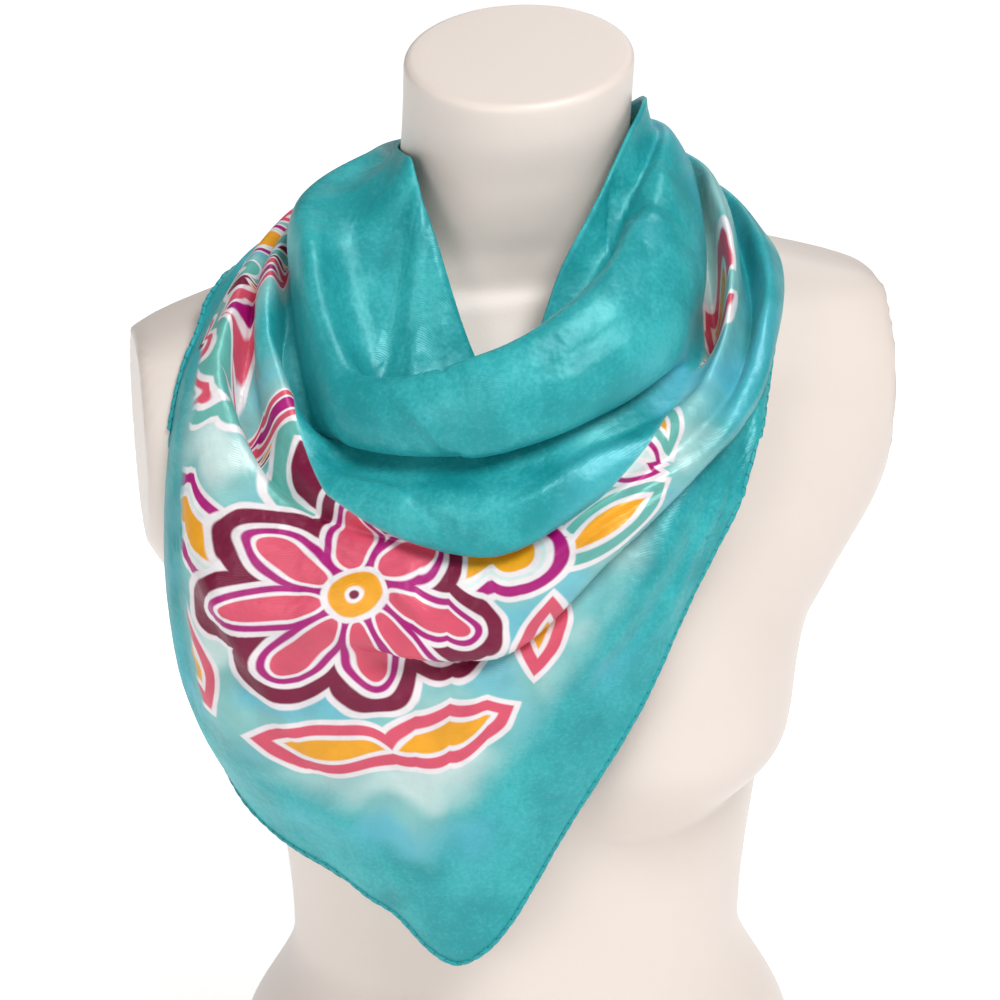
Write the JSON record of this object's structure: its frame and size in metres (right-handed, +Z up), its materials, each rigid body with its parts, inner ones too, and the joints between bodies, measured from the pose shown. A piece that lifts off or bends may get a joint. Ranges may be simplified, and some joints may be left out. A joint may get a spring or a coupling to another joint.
{
  "type": "silk square scarf on a torso dress form",
  "caption": "Silk square folded on its diagonal, draped point forward in soft cowl folds over a limbless torso form, ends knotted at the nape.",
  "frame": {"origin": "middle of the form's flat base, on the surface it stands on", "axes": "+Z up, -Y towards the front where the scarf's point hangs, +X towards the form's left shoulder"},
  "size_m": [0.36, 0.2565, 0.5629],
  "materials": {
    "form": "satin off-white shell",
    "printed_silk": "teal silk with a printed floral border band",
    "rolled_hem": "hand-rolled silk hem"
  },
  "bodies": {
    "root": {"dress_form": "form", "front_drape": "printed_silk", "under_layer": "printed_silk", "nape_knot": "printed_silk", "tail_right": "printed_silk", "tail_left": "printed_silk", "drape_hem": "rolled_hem", "under_hem": "rolled_hem"}
  },
  "joints": []
}
